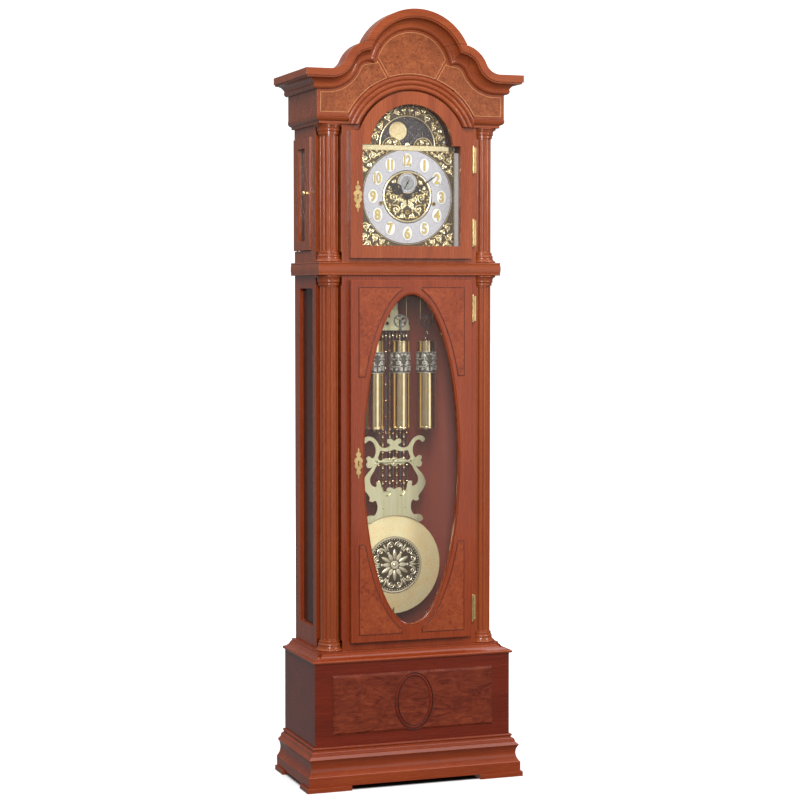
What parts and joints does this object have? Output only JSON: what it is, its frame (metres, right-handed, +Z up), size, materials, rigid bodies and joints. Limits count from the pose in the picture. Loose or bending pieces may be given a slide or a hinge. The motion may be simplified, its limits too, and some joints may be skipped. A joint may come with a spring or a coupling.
{
  "type": "longcase clock",
  "caption": "Longcase clock with arched crown, fluted corner columns, break-arch moon dial, oval-windowed trunk door, hanging weights and a lyre pendulum.",
  "frame": {"origin": "on the floor, under the middle of the case's outer box", "axes": "+Z up, -Y towards the front of the clock, +X to the right of a person facing it"},
  "size_m": [0.637, 0.316, 2.14],
  "materials": {
    "cherry": "satin lacquer",
    "inner_wood": "satin lacquer",
    "burl": "satin lacquer",
    "door_burl": "satin lacquer",
    "clear_glass": "polished",
    "polished_brass": "polished",
    "lacquered_brass": "satin",
    "antique_brass": "patinated relief",
    "dial_gold": "polished relief",
    "silvered_ring": "silvered, brushed",
    "moon_blue": "painted",
    "black_hands": "gloss",
    "movement_brass": "brushed",
    "steel": "brushed",
    "bell_metal": "polished",
    "cable": "twisted wire"
  },
  "bodies": {
    "case": {"feet": "cherry", "base_moulding": "cherry", "plinth_panels": "cherry", "plinth_burl_panel": "door_burl", "plinth_top_board": "cherry", "back_panel": "inner_wood", "trunk_sides": "cherry", "trunk_side_glass": "clear_glass", "trunk_front_frame": "cherry", "columns": "cherry", "waist_moulding": "cherry", "hood_sides": "cherry", "hood_front_frame": "cherry", "neck_moulding": "cherry", "frieze_boards": "cherry", "frieze_burl_panels": "burl", "crown_moulding": "cherry", "roof_board": "cherry", "seat_board": "inner_wood", "hinge_posts": "polished_brass", "hinge_pins": "polished_brass", "movement_plates": "movement_brass", "bells": "bell_metal", "dial_plate": "dial_gold", "chapter_ring": "silvered_ring", "dial_ornaments": "dial_gold"},
    "trunk_door": {"trunk_door": "cherry", "trunk_door_burl": "door_burl", "trunk_door_glass": "clear_glass", "trunk_door_escutcheon": "polished_brass", "trunk_door_hinge_leaves": "polished_brass"},
    "hood_door": {"hood_door": "cherry", "hood_door_glass": "clear_glass", "hood_door_escutcheon": "polished_brass", "hood_door_hinge_leaves": "polished_brass"},
    "left_side_door": {"left_side_door": "cherry", "left_side_glass": "clear_glass", "left_side_knob": "polished_brass"},
    "right_side_door": {"right_side_door": "cherry", "right_side_glass": "clear_glass", "right_side_knob": "polished_brass"},
    "minute_hand": {"minute_hand": "black_hands"},
    "hour_hand": {"hour_hand": "black_hands"},
    "seconds_arbor": {"seconds_hand": "black_hands", "escape_wheel": "movement_brass"},
    "moon_disc": {"moon_disc": "moon_blue"},
    "pendulum": {"anchor_crutch": "steel", "pendulum_rods": "lacquered_brass", "pendulum_lyre": "lacquered_brass", "pendulum_bob": "polished_brass", "bob_medallion": "antique_brass"},
    "weight_left": {"weight_left": "polished_brass", "cable_left": "cable"},
    "weight_centre": {"weight_centre": "polished_brass", "cable_centre": "cable"},
    "weight_right": {"weight_right": "polished_brass", "cable_right": "cable"},
    "barrel_left": {"barrel_left": "movement_brass"},
    "barrel_centre": {"barrel_centre": "movement_brass"},
    "barrel_right": {"barrel_right": "movement_brass"}
  },
  "joints": [
    {"name": "trunk_door_hinge", "type": "hinge", "parent": "case", "child": "trunk_door", "pos_m": [0.182, -0.113, 0.9], "axis": [0, 0, 1], "range_deg": [0, 100]},
    {"name": "hood_door_hinge", "type": "hinge", "parent": "case", "child": "hood_door", "pos_m": [0.182, -0.113, 1.63], "axis": [0, 0, 1], "range_deg": [0, 100]},
    {"name": "left_side_door_hinge", "type": "hinge", "parent": "case", "child": "left_side_door", "pos_m": [-0.251, 0.147, 1.64], "axis": [0, 0, -1], "range_deg": [0, 95]},
    {"name": "right_side_door_hinge", "type": "hinge", "parent": "case", "child": "right_side_door", "pos_m": [0.251, 0.147, 1.64], "axis": [0, 0, 1], "range_deg": [0, 95]},
    {"name": "minute_arbor", "type": "hinge", "parent": "case", "child": "minute_hand", "pos_m": [0, -0.08, 1.632], "axis": [0, 1, 0], "continuous": true},
    {"name": "hour_pipe", "type": "hinge", "parent": "case", "child": "hour_hand", "pos_m": [0, -0.08, 1.632], "axis": [0, 1, 0], "continuous": true},
    {"name": "seconds_arbor", "type": "hinge", "parent": "case", "child": "seconds_arbor", "pos_m": [0, -0.05, 1.67], "axis": [0, 1, 0], "continuous": true},
    {"name": "moon_disc_stud", "type": "hinge", "parent": "case", "child": "moon_disc", "pos_m": [0, -0.073, 1.765], "axis": [0, 1, 0], "continuous": true},
    {"name": "pendulum_swing", "type": "hinge", "parent": "case", "child": "pendulum", "pos_m": [0, 0.042, 1.698], "axis": [0, 1, 0], "range_deg": [-3, 3]},
    {"name": "weight_left_drop", "type": "slide", "parent": "case", "child": "weight_left", "axis": [0, 0, -1], "range_m": [-0.12, 0.56], "deforming": ["cable_left"]},
    {"name": "weight_centre_drop", "type": "slide", "parent": "case", "child": "weight_centre", "axis": [0, 0, -1], "range_m": [-0.12, 0.56], "deforming": ["cable_centre"]},
    {"name": "weight_right_drop", "type": "slide", "parent": "case", "child": "weight_right", "axis": [0, 0, -1], "range_m": [-0.12, 0.56], "deforming": ["cable_right"]},
    {"name": "barrel_left_turn", "type": "hinge", "parent": "case", "child": "barrel_left", "pos_m": [-0.078, -0.019, 1.613], "axis": [0, -1, 0], "range_deg": [-780, 3600]},
    {"name": "barrel_centre_turn", "type": "hinge", "parent": "case", "child": "barrel_centre", "pos_m": [0, -0.019, 1.589], "axis": [0, -1, 0], "range_deg": [-780, 3600]},
    {"name": "barrel_right_turn", "type": "hinge", "parent": "case", "child": "barrel_right", "pos_m": [0.078, -0.019, 1.613], "axis": [0, -1, 0], "range_deg": [-780, 3600]}
  ],
  "couplings": [
    {"joint": "hour_pipe", "follows": "minute_arbor", "ratio": 0.083333},
    {"joint": "barrel_left_turn", "follows": "weight_left_drop", "rad_per_m": 111.11},
    {"joint": "barrel_centre_turn", "follows": "weight_centre_drop", "rad_per_m": 111.11},
    {"joint": "barrel_right_turn", "follows": "weight_right_drop", "rad_per_m": 111.11}
  ]
}
